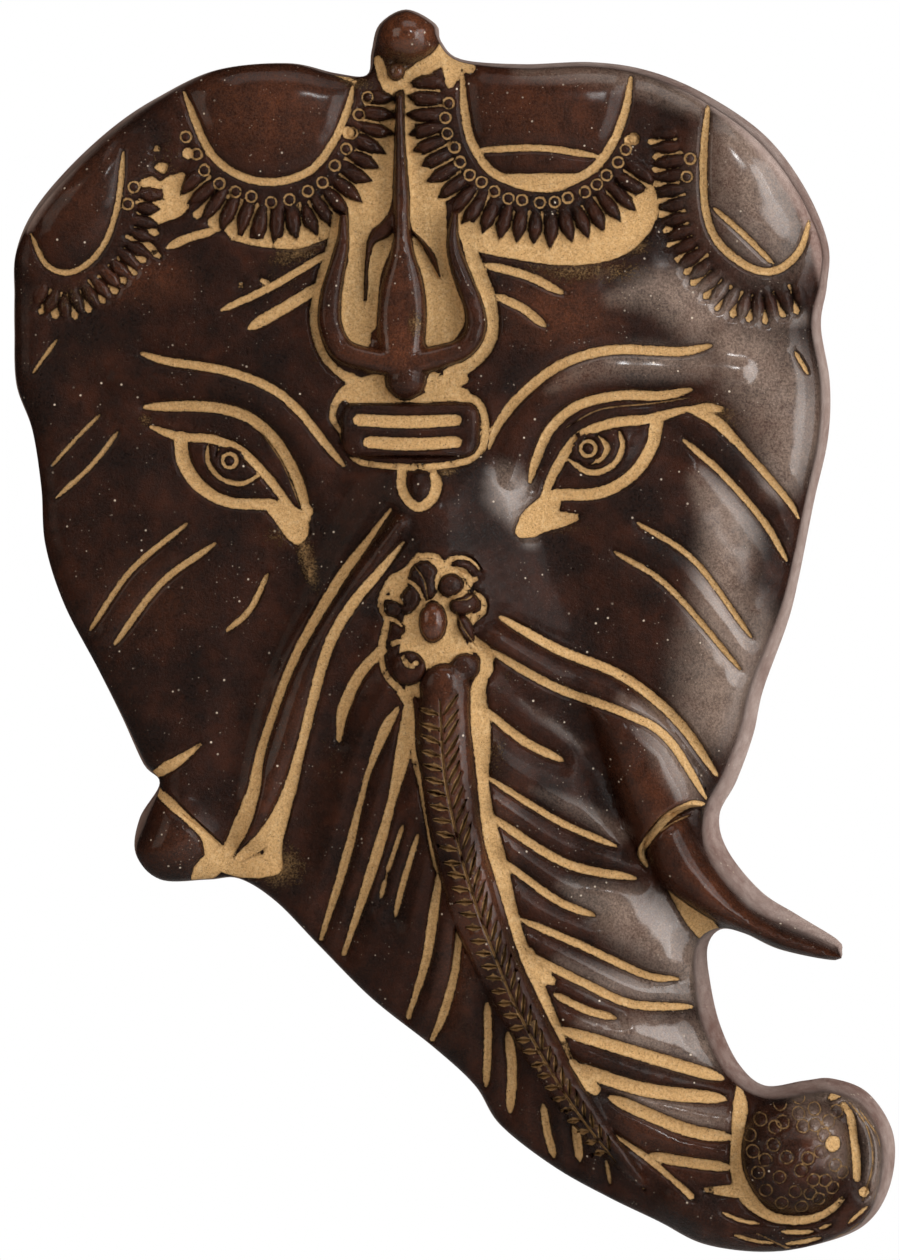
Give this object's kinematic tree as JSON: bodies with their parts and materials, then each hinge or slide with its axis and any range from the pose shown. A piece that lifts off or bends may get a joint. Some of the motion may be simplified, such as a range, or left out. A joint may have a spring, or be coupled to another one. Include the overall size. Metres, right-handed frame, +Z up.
{
  "type": "ganesha wall hanging",
  "caption": "Cast brass relief plaque of an elephant-headed Ganesha face with trident, garlands, one tusk and a curled trunk, hung flat on a wall.",
  "frame": {"origin": "hanging point on the flat back, high in the middle under the knob", "axes": "+Z up along the wall, +Y into the wall (the face looks along -Y), +X towards the tusk and the curled trunk"},
  "size_m": [0.2213, 0.032, 0.312],
  "materials": {
    "patinated_brass": "dark brown antique patina, semi-gloss, with matt tan pigment left in the carved lines"
  },
  "bodies": {
    "root": {"ganesha_relief": "patinated_brass"}
  },
  "joints": []
}
